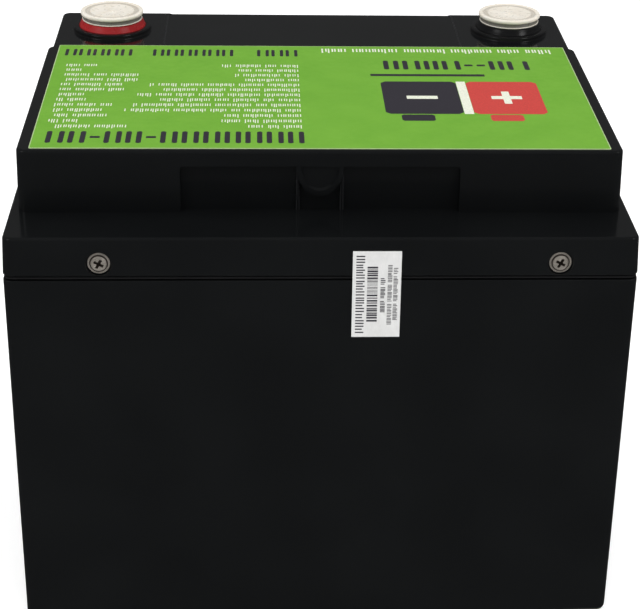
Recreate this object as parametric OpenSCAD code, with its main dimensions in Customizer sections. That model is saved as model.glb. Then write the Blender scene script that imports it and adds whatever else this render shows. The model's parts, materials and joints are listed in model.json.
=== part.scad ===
// Deep cycle lithium battery with a screwed lid, a raised terminal deck and four prismatic cells.
// Origin: centre of the base. X runs along the length, Y towards the terminals, Z up.

/* [Case] */
// Length of the case
case_l = 198; // [190:0.5:206]
// Width of the case
case_w = 166; // [160:0.5:172]
// Height of the container below the lid seam
container_h = 127; // [126:0.1:128]
// Height of the open seam between container and lid
seam_h = 1.5; // [1:0.1:1.8]
// Wall thickness of container and lid
wall = 3; // [2.8:0.1:3.2]
// Radius of the upright corners
corner_r = 3; // [2:0.5:4]
// How much narrower the container is at its foot, on each side
foot_draft = 0.1; // [0:0.1:0.6]

/* [Lid] */
// Height of the shoulder around the deck
shoulder_h = 141.2; // [141:0.1:142]
// Height of the raised deck that carries the label
deck_h = 161.9; // [161:0.1:162]
// Length of the deck
deck_l = 191.8; // [190:0.2:192]
// Front face of the deck
deck_front = -62.5; // [-64:0.5:-60]
// Line where the deck steps in to the terminal strip
deck_back = 41.6; // [41:0.2:43]
// Length of the terminal strip behind the deck
strip_l = 188.9; // [187:0.1:189.5]
// How far the terminal strip lies below the deck
strip_drop = 0.2; // [0.1:0.1:0.6]
// How much narrower the lid walls are at their top, on each side
lid_draft = 0.45; // [0:0.05:0.6]
// Length of the recessed panel in the front of the deck
recess_l = 88.2; // [80:0.2:90]
// Depth of the recessed panel
recess_depth = 3.5; // [2:0.5:3.8]

/* [Terminals] */
// Distance of each terminal from the middle of the case
terminal_x = 74; // [72:0.5:76]
// Terminals' place across the width
terminal_y = 62; // [61:0.5:63]
// Height of the tops of the terminal caps
total_h = 169; // [168.8:0.1:170]
// Radius of the threaded bore, the minor radius of M8
thread_r = 3.4; // [3.2:0.1:3.5]
// Depth of the threaded bore
thread_depth = 12; // [10:0.5:13]

/* [Label and seal] */
// Length of the top label
label_l = 183; // [180:0.2:185]
// Front edge of the top label
label_front = -60.4; // [-61:0.1:-58]
// Width of the warranty seal
seal_w = 15.2; // [12:0.2:18]
// Left edge of the warranty seal
seal_x = 9; // [0:0.5:12]

/* [Cells] */
// Length of one cell, from its foot to its lid
cell_l = 170; // [165:0.5:170]
// Thickness of one cell
cell_t = 36.2; // [35:0.1:36.2]
// Width of one cell, which stands upright in the case
cell_w = 130; // [128:0.5:130]
// Thickness of the insulating sheet between two cells
sheet_t = 0.5; // [0.3:0.1:0.5]

/* [Hidden] */
$fn = 64;
POST_FN = 32;
SLIVER = 0.01;

half_l = case_l / 2;
half_w = case_w / 2;
lid_z = container_h + seam_h;
strip_h = deck_h - strip_drop;
strip_under = strip_h - wall;
deck_under = deck_h - wall;
shoulder_under = shoulder_h - wall;
edge_r = 1;
foot_edge = 2.2;
lip_gap = 0.2;
lip_t = 2.6;
lip_z = 112;
lip_top = shoulder_under - 0.6;

// Screws: two in the front of the skirt and two in the rear, each pair off centre to the same hand.
screw_z = lid_z + 4.1;
screw_left = -69.3;
screw_right = 74;
screw_sink = 1.2;
washer_r = 3.5;
insert_r = 3.2;
screw_places = [[screw_left, 0], [screw_right, 0], [-screw_left, 180], [-screw_right, 180]];

// Recessed panel in the front of the deck, with a half-round boss between two ribs.
recess_top = deck_h - 5.4;
boss_x = -0.7;
boss_r = 7.6;
rib_w = 1.3;
pad_x = 54.3;
pad_drop = 0.5;

// One terminal, from the flange under the lid up to the contact face under the cap.
post_r = 8;
hole_r = 8.6;
flange_r = 12;
flange_z = strip_under - 3;
gasket_t = 0.5;
collar_r = 14.2;
collar_h = 1.7;
ring_r = 12.2;
ring_top_r = 11;
ring_z = strip_h + 3.9;
post_z = ring_z + 1.4;
stud_r = 4;
stud_z = flange_z - 9.6;
lug_t = 2.4;
nut_h = 6;
cap_gap = 0.3;
cap_r = 11.5;
cap_wall = 1.2;

// Cell pack: four cells on their narrow sides, with their lids facing +X.
floor_t = 2.6;
pad_t = 1.4;
heater_t = 0.9;
strap_t = 0.5;
cell_x = -91.5;
cell_face = cell_x + cell_l;
cell_z = floor_t + pad_t + heater_t + strap_t;
cell_top = cell_z + cell_w;
pitch = cell_t + sheet_t;
stack_half = 2 * cell_t + 1.5 * sheet_t;
plate_t = 2;
plate_y = stack_half + plate_t;
low_post_z = cell_z + 20;
high_post_z = cell_top - 20;
post_face = cell_face + 6;
busbar_t = 2;
busbar_w = 22;
busbar_top = cell_top - 1.4;
strap_w = 12;
strap_places = [-62, -6, 50];

// Battery management board on its tray, in the space under the deck.
bms_x = -8;
bms_y = -8;
bms_l = 144;
bms_w = 78;
tray_z = cell_top + strap_t;
tray_t = 1.6;
board_z = tray_z + 6;
board_t = 1.6;
board_top = board_z + board_t;
mosfet_h = 4.4;
sink_z = board_top + mosfet_h;
bms_holes = [for (x = [-1, 1], y = [-1, 1]) [bms_x + x * (bms_l / 2 - 5), bms_y + y * (bms_w / 2 - 5)]];
connector_x = bms_x + bms_l / 2 - 6;
connector_pins = 5;
pin_step = 2.5;
connector_y = bms_y - 6;
wire_r = 0.7;
lead_r = 3;
lead_z = 141.8;

function cell_y(i) = (i - 1.5) * pitch;
function front_y(z) = z < lid_z
    ? -half_w + foot_draft * (container_h - min(z, container_h)) / container_h
    : -half_w + lid_draft * (z - lid_z) / (shoulder_h - lid_z);

function unit(v) = v / norm(v);

// Route with its corners cut off the given number of times, so that it bends smoothly.
function eased(p, times) = times == 0 ? p : eased(concat([p[0]],
    [for (i = [0 : len(p) - 2]) each [
        if (i > 0) 0.75 * p[i] + 0.25 * p[i + 1],
        if (i < len(p) - 2) 0.25 * p[i] + 0.75 * p[i + 1]]],
    [p[len(p) - 1]]), times - 1);

function tangent(p, i) = i == 0 ? unit(p[1] - p[0])
    : i == len(p) - 1 ? unit(p[i] - p[i - 1])
    : unit(unit(p[i + 1] - p[i]) + unit(p[i] - p[i - 1]));

// One sideways direction for each point of a route, carried along it without twisting.
function frames(p, t) = carried(p, 0, abs(t.z) > 0.9 ? [1, 0, 0] : [0, 0, 1]);
function carried(p, i, n) = i == len(p) ? [] : let (t = tangent(p, i), m = unit(n - (n * t) * t))
    concat([m], carried(p, i + 1, m));

// Box between two corners.
module box(low, high) {
    translate(low) cube(high - low);
}

// Box centred on X and Y, from z0 to z1.
module slab(half_x, half_y, z0, z1) {
    box([-half_x, -half_y, z0], [half_x, half_y, z1]);
}

// Ring between two centred boxes.
module frame_ring(out_x, out_y, in_x, in_y, z0, z1) {
    difference() {
        slab(out_x, out_y, z0, z1);
        slab(in_x, in_y, z0 - 1, z1 + 1);
    }
}

// Block with round upright corners and a round top edge, drawn in by inset at its top.
module moulded_block(low, high, r, inset, edge) {
    hull() {
        for (x = [low.x + r, high.x - r], y = [low.y + r, high.y - r]) {
            translate([x, y, low.z]) cylinder(r = r, h = SLIVER, $fn = POST_FN);
        }
        for (x = [low.x + r + inset, high.x - r - inset], y = [low.y + r + inset, high.y - r - inset]) {
            translate([x, y, high.z - edge]) rotate_extrude($fn = POST_FN) intersection() {
                translate([r - edge, 0]) circle(r = edge, $fn = 20);
                square([r, edge]);
            }
        }
    }
}

// Flat sheet with round corners.
module rounded_sheet(low, high, r, z, t) {
    translate([0, 0, z]) linear_extrude(t) union() {
        translate([low.x + r, low.y]) square([high.x - low.x - 2 * r, high.y - low.y]);
        translate([low.x, low.y + r]) square([high.x - low.x, high.y - low.y - 2 * r]);
        for (x = [low.x + r, high.x - r], y = [low.y + r, high.y - r]) translate([x, y]) circle(r = r);
    }
}

// Tube of revolution from an outline of [radius, height] points.
module turned(points) {
    rotate_extrude() polygon(points);
}

// Six-sided nut, lying with its hole along Z.
module hex_nut(across_r, hole, h) {
    difference() {
        cylinder(r = across_r, h = h, $fn = 6);
        translate([0, 0, -1]) cylinder(r = hole, h = h + 2);
    }
}

// Wire swept along a smooth curve that a list of corner points guides, with flat ends.
module wire(corners, r) {
    path = eased(corners, 3);
    last = len(path) - 1;
    sides = 10;
    side_dirs = frames(path, tangent(path, 0));
    rings = [for (i = [0 : last], k = [0 : sides - 1]) path[i] + r * (cos(k * 360 / sides) * side_dirs[i]
        + sin(k * 360 / sides) * cross(tangent(path, i), side_dirs[i]))];
    walls = [for (i = [0 : last - 1], k = [0 : sides - 1]) let (m = (k + 1) % sides)
        [i * sides + k, (i + 1) * sides + k, (i + 1) * sides + m, i * sides + m]];
    polyhedron(points = rings, faces = concat([[for (k = [0 : sides - 1]) k]], walls,
        [[for (k = [sides - 1 : -1 : 0]) last * sides + k]]));
}

// Places its children at each screw, with the screw's axis along +Y into the case.
module at_screws() {
    for (place = screw_places) rotate([0, 0, place[1]])
        translate([place[1] == 0 ? place[0] : -place[0], front_y(screw_z), screw_z])
            rotate([-90, 0, 0]) children();
}

// Places its children at one terminal, on the side of the given sign.
module at_terminal(side) {
    translate([side * terminal_x, terminal_y, 0]) children();
}

// Open box with a lip that rises inside the lid's skirt.
module container() {
    inner_x = half_l - wall;
    inner_y = half_w - wall;
    color("#17181a") difference() {
        union() {
            difference() {
                translate([0, 0, container_h]) mirror([0, 0, 1]) moulded_block([-half_l, -half_w, 0],
                    [half_l, half_w, container_h], corner_r, foot_draft, foot_edge);
                slab(inner_x, inner_y, floor_t, container_h + 1);
            }
            frame_ring(inner_x - lip_gap, inner_y - lip_gap, inner_x - lip_gap - lip_t,
                inner_y - lip_gap - lip_t, lip_z, lip_top);
            frame_ring(inner_x + 1, inner_y + 1, inner_x - lip_gap - lip_t, inner_y - lip_gap - lip_t,
                lip_z, container_h - 1);
        }
        at_screws() cylinder(r = insert_r + 0.05, h = 10);
    }
}

// Skirt, shoulder, deck and terminal strip in one moulding.
module lid() {
    cavity_x = deck_l / 2 - wall;
    recess_y = deck_front + recess_depth;
    color("#1b1c1e") difference() {
        union() {
            difference() {
                union() {
                    moulded_block([-half_l, -half_w, lid_z], [half_l, half_w, shoulder_h], corner_r,
                        lid_draft, edge_r);
                    moulded_block([-deck_l / 2, deck_front, shoulder_h - 1.5],
                        [deck_l / 2, deck_back, deck_h], corner_r, lid_draft, edge_r);
                    moulded_block([-strip_l / 2, deck_back - 12, shoulder_h - 1.5],
                        [strip_l / 2, half_w - lid_draft, strip_h], corner_r, lid_draft, edge_r);
                }
                slab(half_l - wall, half_w - wall, lid_z - 1, shoulder_under);
                box([-cavity_x, deck_front + wall, shoulder_under - 1],
                    [cavity_x, deck_back - wall, deck_under]);
                box([3 - strip_l / 2, deck_back - wall - 1, shoulder_under - 1],
                    [strip_l / 2 - 3, half_w - wall - 0.5, strip_under]);
            }
            box([-recess_l / 2 - wall, deck_front + 1, shoulder_h - 1],
                [recess_l / 2 + wall, recess_y + wall, deck_under + 1]);
        }
        recess_cut(recess_y);
        box([-pad_x, deck_back, strip_h - pad_drop], [pad_x, half_w + 1, deck_h + 1]);
        at_screws() {
            translate([0, 0, -2]) cylinder(r = washer_r + 0.45, h = 2 + screw_sink);
            cylinder(r = 2.2, h = 6);
        }
        for (side = [-1, 1]) at_terminal(side)
            translate([0, 0, strip_under - 1]) cylinder(r = hole_r, h = 8);
    }
}

// Space in front of the recessed panel, around its boss and ribs.
module recess_cut(recess_y) {
    r = 1.2;
    depth = recess_depth + 1;
    difference() {
        translate([boss_x + 0.2, recess_y, 0]) rotate([90, 0, 0]) linear_extrude(depth) union() {
            translate([-recess_l / 2, shoulder_h]) square([recess_l, recess_top - shoulder_h - r]);
            translate([r - recess_l / 2, shoulder_h]) square([recess_l - 2 * r, recess_top - shoulder_h]);
            for (x = [-1, 1]) translate([x * (recess_l / 2 - r), recess_top - r]) circle(r = r);
        }
        translate([boss_x, recess_y + 1, recess_top]) rotate([90, 0, 0]) difference() {
            cylinder(r = boss_r, h = 3.2);
            translate([0, 0, 2.5]) cylinder(r = boss_r - 1.6, h = 2);
        }
        for (x = [-1, 1]) {
            left = boss_x + x * (boss_r - rib_w / 2) - rib_w / 2;
            box([left, recess_y - 1.6, shoulder_h - 1], [left + rib_w, recess_y + 1, recess_top - 1]);
        }
    }
}

// Silicone ring in the seam.
module lid_gasket() {
    color("#0c0c0d") frame_ring(half_l - 1.2, half_w - 1.2, half_l - wall + 0.05, half_w - wall + 0.05,
        container_h + 0.05, lid_z - 0.05);
}

// Pan-head screws with washer flange and cross recess.
module lid_screws() {
    color("#b9b6ae") at_screws() translate([0, 0, screw_sink]) difference() {
        union() {
            translate([0, 0, -0.4]) cylinder(r = washer_r, h = 0.4);
            intersection() {
                translate([0, 0, 3.9]) sphere(r = 5.1);
                translate([0, 0, -1.2]) cylinder(r = 2.9, h = 1);
            }
            cylinder(r = 1.95, h = 5.4);
        }
        for (turn = [0, 90]) rotate([0, 0, turn + 30]) box([-1.9, -0.4, -2], [1.9, 0.4, -0.3]);
    }
}

// Brass bushes in the container's lip that the screws bite into.
module screw_inserts() {
    color("#c9a24b") at_screws() difference() {
        translate([0, 0, wall + lip_gap]) cylinder(r = insert_r, h = lip_t);
        cylinder(r = 2, h = 10);
    }
}

// Printed film on the deck.
module top_label() {
    color("#7db848")
        rounded_sheet([-label_l / 2, label_front], [label_l / 2, deck_back - 0.4], 1.2, deck_h, 0.25);
}

// Paper seal that bridges the seam and follows both walls.
module warranty_seal() {
    t = 0.15;
    heights = [107.3, container_h, lid_z, 136.9];
    inner = [for (z = heights) [front_y(z), z]];
    outer = [for (i = [3 : -1 : 0]) [front_y(heights[i]) - t, heights[i]]];
    color("#e9e9ec") translate([seal_x, 0, 0]) rotate([90, 0, 90]) linear_extrude(seal_w)
        polygon(concat(inner, outer));
}

// Brass terminal: contact post with a threaded bore, flange under the lid and stud for the lug.
module terminal() {
    color("#cda452") difference() {
        turned([[0, stud_z], [stud_r, stud_z], [stud_r, flange_z], [flange_r, flange_z],
            [flange_r, strip_under - gasket_t], [post_r, strip_under - gasket_t], [post_r, post_z - 0.5],
            [post_r - 0.5, post_z], [0, post_z]]);
        translate([0, 0, post_z - thread_depth]) cylinder(r = thread_r, h = thread_depth + 1);
    }
}

module terminal_positive() at_terminal(-1) terminal();
module terminal_negative() at_terminal(1) terminal();

// Coloured insulating ring around the post.
module terminal_ring() {
    turned([[post_r + 0.1, strip_h + 0.05], [ring_r, strip_h + 0.05], [ring_r, strip_h + 2],
        [ring_top_r + 0.3, ring_z - 0.3], [ring_top_r, ring_z], [post_r + 0.1, ring_z]]);
}

module terminal_ring_positive() color("#c22a2c") at_terminal(-1) terminal_ring();
module terminal_ring_negative() color("#131314") at_terminal(1) terminal_ring();

// Rounded collar around the ring.
module terminal_collar() {
    fillet = 0.7;
    inner = ring_r + 0.05;
    color("#0f0f10") translate([0, 0, strip_h]) rotate_extrude() union() {
        translate([inner, 0]) square([collar_r - inner - fillet, collar_h]);
        translate([inner, 0]) square([collar_r - inner, collar_h - fillet]);
        translate([collar_r - fillet, collar_h - fillet]) circle(r = fillet);
    }
}

module terminal_collar_positive() at_terminal(-1) terminal_collar();
module terminal_collar_negative() at_terminal(1) terminal_collar();

// Flat seals between the terminal flanges and the lid.
module terminal_gaskets() {
    color("#2a2a2c") for (side = [-1, 1]) at_terminal(side)
        turned([[post_r + 0.8, strip_under - gasket_t], [flange_r - 0.3, strip_under - gasket_t],
            [flange_r - 0.3, strip_under], [post_r + 0.8, strip_under]]);
}

// Nuts that clamp the cable lugs under the flanges.
module terminal_nuts() {
    color("#c9a24b") for (side = [-1, 1]) at_terminal(side) translate([0, 0, flange_z - lug_t - nut_h])
        hex_nut(7.5, stud_r + 0.05, nut_h);
}

// Push-on cap: flanged rim, waist and dished top with a small centre mark.
module cap() {
    inner_r = post_r + cap_gap;
    rim_z = ring_z + 0.1;
    top = total_h;
    color("#ece9df") turned([[inner_r, rim_z], [10.75, rim_z], [10.9, rim_z + 0.25], [10.75, rim_z + 0.5],
        [10.35, rim_z + 0.7], [10.35, rim_z + 1.4], [11.2, rim_z + 2], [cap_r, rim_z + 2.4],
        [cap_r, top - 0.7], [cap_r - 0.2, top - 0.25], [cap_r - 0.7, top], [9.7, top], [9.1, top - 0.35],
        [8.2, top - 0.45], [7.8, top - 0.6], [0.9, top - 0.6], [0.5, top - 0.45], [0, top - 0.45],
        [0, top - 0.6 - cap_wall], [inner_r, top - 0.6 - cap_wall]]);
}

module cap_positive() at_terminal(-1) cap();
module cap_negative() at_terminal(1) cap();

// Aluminium can of one cell, with a raised lid rim on its terminal end.
module cell(i) {
    y = cell_y(i);
    color("#3f6fae") difference() {
        box([cell_x, y - cell_t / 2, cell_z], [cell_face, y + cell_t / 2, cell_top]);
        box([cell_face - 0.6, y - cell_t / 2 + 1.2, cell_z + 1.2],
            [cell_face + 1, y + cell_t / 2 - 1.2, cell_top - 1.2]);
    }
}

module cell_1() cell(0);
module cell_2() cell(1);
module cell_3() cell(2);
module cell_4() cell(3);

// Two posts on each cell, each a square foot, a round pillar and a stud.
module cell_posts() {
    color("#c8c9cc") for (i = [0 : 3], z = [low_post_z, high_post_z])
        translate([cell_face - 0.6, cell_y(i), z]) rotate([0, 90, 0]) union() {
            box([-11, -11, 0], [11, 11, 2.2]);
            cylinder(r = 8, h = 6.6);
            cylinder(r = 3, h = 14.4);
        }
}

// Burst discs in the cell lids.
module cell_vents() {
    z = (low_post_z + high_post_z) / 2;
    color("#a9abb0") for (i = [0 : 3]) translate([cell_face - 0.6, cell_y(i), z])
        rotate([0, 90, 0]) difference() {
            cylinder(r = 8, h = 0.9);
            translate([0, 0, 0.5]) cylinder(r = 6, h = 1);
        }
}

// Insulating sheets between the cells.
module cell_insulators() {
    color("#d9cfa6") for (i = [0 : 2]) {
        y = cell_y(i) + cell_t / 2;
        box([cell_x, y, cell_z], [cell_face, y + sheet_t, cell_top]);
    }
}

// Stiff plates on the two ends of the stack.
module end_plates() {
    color("#2f3136") for (side = [-1, 1]) box([cell_x + 1, min(side * stack_half, side * plate_y), cell_z],
        [cell_face - 1, max(side * stack_half, side * plate_y), cell_top]);
}

// Bands that hold the stack together.
module pack_straps() {
    color("#8f9398") for (x = strap_places) translate([x, 0, 0]) difference() {
        slab(strap_w / 2, plate_y + strap_t, cell_z - strap_t, cell_top + strap_t);
        slab(strap_w, plate_y, cell_z, cell_top);
    }
}

// Foam on the foot end and on the front and rear of the stack.
module foam_pads() {
    foam_top = lip_z - 2;
    color("#4a4d52") {
        box([0.1 - half_l + wall, -60, 20], [cell_x, 60, foam_top]);
        for (side = [-1, 1]) {
            y0 = side * (plate_y + strap_t);
            y1 = side * (half_w - wall - 0.1);
            box([-80, min(y0, y1), 20], [68, max(y0, y1), foam_top]);
        }
    }
}

// Foam sheet on the container's floor.
module base_pad() {
    color("#4a4d52") box([cell_x, -stack_half, floor_t], [cell_face, stack_half, floor_t + pad_t]);
}

// Silicone heating mat under the cells.
module heater_mat() {
    z = floor_t + pad_t;
    color("#c0672b") box([cell_x + 5, 4 - stack_half, z], [cell_face - 5, stack_half - 4, z + heater_t]);
}

// Plate across the studs of two cells, or on one stud at an end of the string.
module link(y0, y1, z0, z1, studs) {
    difference() {
        box([post_face, y0, z0], [post_face + busbar_t, y1, z1]);
        for (s = studs) translate([post_face - 1, s[0], s[1]])
            rotate([0, 90, 0]) cylinder(r = 3.2, h = busbar_t + 2);
    }
}

// Three links in series and a tab at each end of the string.
module busbars() {
    reach = 11;
    color("#b87333") {
        for (i = [0 : 2]) {
            z = i == 1 ? high_post_z : low_post_z;
            link(cell_y(i) - reach, cell_y(i + 1) + reach, z - busbar_w / 2, z + busbar_w / 2,
                [[cell_y(i), z], [cell_y(i + 1), z]]);
        }
        for (i = [0, 3]) link(cell_y(i) - reach, cell_y(i) + reach, high_post_z - busbar_w / 2, busbar_top,
            [[cell_y(i), high_post_z]]);
    }
}

// Nuts on the cell studs.
module busbar_nuts() {
    color("#c4c6ca") for (i = [0 : 3], z = [low_post_z, high_post_z])
        translate([post_face + busbar_t, cell_y(i), z]) rotate([0, 90, 0]) hex_nut(5.7, 3.05, 5);
}

// Plastic tray with four posts that carries the board.
module bms_tray() {
    color("#d8d8d4") difference() {
        union() {
            box([bms_x - bms_l / 2 - 2, bms_y - bms_w / 2 - 2, tray_z],
                [bms_x + bms_l / 2 + 2, bms_y + bms_w / 2 + 2, tray_z + tray_t]);
            for (p = bms_holes) translate([p.x, p.y, tray_z]) cylinder(r = 3.5, h = board_z - tray_z);
        }
        for (p = bms_holes) translate([p.x, p.y, tray_z - 1]) cylinder(r = 1.6, h = 12);
    }
}

// Circuit board.
module bms_board() {
    color("#1d5b38") difference() {
        box([bms_x - bms_l / 2, bms_y - bms_w / 2, board_z],
            [bms_x + bms_l / 2, bms_y + bms_w / 2, board_top]);
        for (p = bms_holes) translate([p.x, p.y, board_z - 1]) cylinder(r = 1.8, h = board_t + 2);
    }
}

// Two rows of power transistors under the heatsink.
module bms_mosfets() {
    color("#222326") for (i = [0 : 7], row = [-1, 1])
        translate([bms_x - 46 + i * 13, bms_y + 14 + row * 8, board_top])
            box([-5, -5, 0], [5, 5, mosfet_h]);
}

// Finned aluminium plate that cools the transistors.
module bms_heatsink() {
    fins = 7;
    color("#a3a6ab") translate([bms_x, bms_y + 14, sink_z]) {
        box([-54, -15, 0], [54, 15, 2]);
        for (i = [0 : fins - 1]) {
            y = -15 + i * (30 - 1.2) / (fins - 1);
            box([-54, y, 1], [54, y + 1.2, 5]);
        }
    }
}

// Shunts, capacitors, controller chips and cable pads on the board.
module bms_components() {
    color("#3a3c40") translate([bms_x, bms_y, board_top]) {
        for (i = [0 : 3]) translate([-40 + i * 9, -16, 0]) cylinder(r = 3.2, h = 8);
        for (i = [0 : 4]) translate([-6 + i * 7, -14, 0]) box([0, 0, 0], [5, 3, 1.4]);
        box([4, -32, 0], [16, -20, 1.6]);
        box([22, -30, 0], [30, -22, 1.4]);
        for (i = [0 : 2]) translate([-10 + i * 2.5, -34, 0]) box([0, 0, 0], [1.5, 8, 1]);
        for (y = [-18, 14]) translate([-66, y, 0]) box([-4, -5, 0], [5, 5, 1.2]);
        translate([64, 16, 0]) box([-5, -5, 0], [4, 5, 1.2]);
    }
}

// Screws that hold the board to its tray.
module bms_screws() {
    color("#b9b6ae") for (p = bms_holes) translate([p.x, p.y, board_top]) {
        cylinder(r = 2.8, h = 1.8);
        translate([0, 0, -5]) cylinder(r = 1.45, h = 5);
    }
}

// Radio module with its metal can.
module bluetooth_module() {
    color("#2b58a6") translate([bms_x - 50, bms_y - 28, board_top]) {
        box([-9, -7, 0], [12, 7, 0.9]);
        box([-2, -5.5, 0.9], [11, 5.5, 2.6]);
    }
}

// Socket of the balance harness.
module balance_connector() {
    half = connector_pins * pin_step / 2 + 1.2;
    color("#efece2") difference() {
        box([connector_x - 3, connector_y - half, board_top],
            [connector_x + 3.5, connector_y + half, board_top + 6]);
        for (i = [0 : connector_pins - 1])
            translate([connector_x, connector_y + (i - 2) * pin_step, board_top + 3.2])
                rotate([0, 90, 0]) cylinder(r = wire_r + 0.1, h = 5);
    }
}

// Sense wires from each busbar to the socket.
module balance_harness() {
    taps = [[cell_y(0) + 7, busbar_top], [cell_y(0.5), low_post_z + 11], [cell_y(1.5), high_post_z + 11],
        [cell_y(2.5), low_post_z + 11], [cell_y(3) - 7, busbar_top]];
    color("#d8d8da") for (i = [0 : connector_pins - 1]) {
        y = connector_y + (i - 2) * pin_step;
        z = board_top + 3.2;
        level = cell_top + 2 + abs(i - 2) * 1.8;
        wire([[post_face + 1, taps[i][0], taps[i][1]], [post_face + 1, taps[i][0], level],
            [post_face + 1, y, level], [post_face + 1, y, z], [connector_x + 0.5, y, z]], wire_r);
    }
}

// Bead on the stack with its own wire to the board.
module temperature_sensor() {
    x = bms_x + bms_l / 2 + 6;
    color("#e2ddcf") {
        box([x - 3, cell_y(2) - 4, cell_top], [x + 3, cell_y(2) + 4, cell_top + 2.4]);
        wire([[x, cell_y(2), cell_top + 2.3], [x, cell_y(2), board_top + 0.8],
            [x - 9, cell_y(2), board_top + 0.8]], wire_r);
    }
}

// Cable from the end of the string to the positive terminal.
module lead_positive() {
    color("#c0282b") wire([[post_face + 1, cell_y(3), busbar_top], [post_face + 1, cell_y(3), lead_z],
        [58, 68, lead_z], [-40, 68, lead_z], [-50, terminal_y, flange_z - lug_t / 2],
        [19.6 - terminal_x, terminal_y, flange_z - lug_t / 2]], lead_r);
}

// Cable from the management board to the negative terminal.
module lead_negative() {
    z = flange_z - lug_t / 2;
    x = bms_x + 64;
    color("#1a1a1c") wire([[x, bms_y + 16, board_top + 1.2], [x, bms_y + 16, z - 2], [x, bms_y + 30, z],
        [terminal_x, bms_y + 36, z], [terminal_x, terminal_y - 19.6, z]], lead_r - 0.4);
}

// Cable from the start of the string to the management board.
module lead_bms() {
    z = board_z + board_t / 2;
    y = bms_y - bms_w / 2 - 5;
    color("#1a1a1c")
        wire([[post_face + 1, cell_y(0), busbar_top], [post_face + 1, cell_y(0), z], [50, y, z],
            [bms_x - 60, y, z], [bms_x - 60, y + 4.9, z]], lead_r - 0.4);
}

// Ring lugs under the terminal flanges, each with a crimp barrel.
module lead_lugs() {
    color("#c9cbd0") for (side = [-1, 1]) at_terminal(side) translate([0, 0, flange_z - lug_t])
        rotate([0, 0, side < 0 ? 0 : -90]) difference() {
            union() {
                cylinder(r = 9, h = lug_t);
                box([0, -5, 0], [13, 5, lug_t]);
                translate([12.5, 0, lug_t / 2]) rotate([0, 90, 0]) cylinder(r = 3.2, h = 7);
            }
            translate([0, 0, -1]) cylinder(r = stud_r + 0.1, h = lug_t + 2);
        }
}

container();
lid();
lid_gasket();
lid_screws();
screw_inserts();
top_label();
warranty_seal();
terminal_positive();
terminal_negative();
terminal_ring_positive();
terminal_ring_negative();
terminal_collar_positive();
terminal_collar_negative();
terminal_gaskets();
terminal_nuts();
cap_positive();
cap_negative();
cell_1();
cell_2();
cell_3();
cell_4();
cell_posts();
cell_vents();
cell_insulators();
end_plates();
pack_straps();
foam_pads();
base_pad();
heater_mat();
busbars();
busbar_nuts();
bms_tray();
bms_board();
bms_mosfets();
bms_heatsink();
bms_components();
bms_screws();
bluetooth_module();
balance_connector();
balance_harness();
temperature_sensor();
lead_positive();
lead_negative();
lead_bms();
lead_lugs();
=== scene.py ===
import json
import math
import random

import bmesh
import bpy
from mathutils import Matrix, Vector


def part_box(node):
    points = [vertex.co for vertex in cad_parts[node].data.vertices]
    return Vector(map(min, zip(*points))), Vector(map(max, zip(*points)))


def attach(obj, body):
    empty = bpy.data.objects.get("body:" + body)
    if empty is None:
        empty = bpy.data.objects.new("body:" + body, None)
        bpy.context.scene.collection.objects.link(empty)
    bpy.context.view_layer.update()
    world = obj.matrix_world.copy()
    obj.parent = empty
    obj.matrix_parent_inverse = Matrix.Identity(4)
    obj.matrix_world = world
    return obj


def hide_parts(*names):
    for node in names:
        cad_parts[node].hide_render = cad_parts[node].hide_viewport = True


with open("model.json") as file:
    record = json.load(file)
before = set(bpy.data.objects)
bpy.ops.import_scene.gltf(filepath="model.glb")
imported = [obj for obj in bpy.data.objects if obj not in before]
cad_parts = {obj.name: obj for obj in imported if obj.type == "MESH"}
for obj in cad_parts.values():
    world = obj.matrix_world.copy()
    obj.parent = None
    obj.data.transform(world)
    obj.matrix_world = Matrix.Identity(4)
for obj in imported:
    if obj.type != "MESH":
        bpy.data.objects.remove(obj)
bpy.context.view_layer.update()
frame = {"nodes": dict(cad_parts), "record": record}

# Deep cycle battery. Lengths are in millimetres until a mesh is made, and places come from the CAD frame.

MM = 0.001


def box_mm(node):
    """Lowest and highest corner of a CAD node, in millimetres."""
    low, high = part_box(node)
    return low / MM, high / MM


CASE_HIGH = box_mm("container")[1]
LID_LOW = box_mm("lid")[0]
GASKET_LOW = box_mm("lid_gasket")[0]
LABEL_LOW, LABEL_HIGH = box_mm("top_label")
SEAL_LOW, SEAL_HIGH = box_mm("warranty_seal")
SCREW_LOW, SCREW_HIGH = box_mm("lid_screws")

# Case
HALF_L = CASE_HIGH.x
HALF_W = CASE_HIGH.y
CORNER_R = 3
WALL = 3
FLOOR_T = 2.6
CASE_TOP = GASKET_LOW.z - 0.05
LIP_TOP = CASE_HIGH.z
LIP_FOOT = 112
LIP_OUT = 3.2
LIP_IN = 5.8
FOOT_DRAFT = 0.1
FOOT_EDGE = 2.2

# Lid
LID_FOOT = LID_LOW.z
SHOULDER = 141.2
DECK_TOP = LABEL_LOW.z
STRIP_TOP = DECK_TOP - 0.2
LID_DRAFT = 0.45
EDGE_R = 1
DECK_HALF = 95.9
DECK_FRONT = -62.5
DECK_BACK = 41.6
STRIP_HALF = 94.45
STRIP_BACK = HALF_W - LID_DRAFT
RECESS_HALF = 44.1
RECESS_MID = -0.5
RECESS_Y = DECK_FRONT + 3.5
RECESS_TOP = DECK_TOP - 5.4
BOSS_X = -0.7
BOSS_R = 7.6
BOSS_TALL = 1.4
RIB_W = 1.3
RIB_FLANK = 1
PAD_HALF = 54.3
PAD_DROP = 0.5
POST_HOLE_R = 8.6

# Screws: the same distances from the middle at the front and, turned half round, at the rear.
SCREW_Z = (SCREW_LOW.z + SCREW_HIGH.z) / 2
SCREW_X = (-69.3, 74)
SCREW_SINK = 1.2
WASHER_R = 3.5

# Studio
SOFT_LIGHT = 0.8
GLOSS_BELOW = 0.044
GLOSS_ABOVE = 0.085

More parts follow.
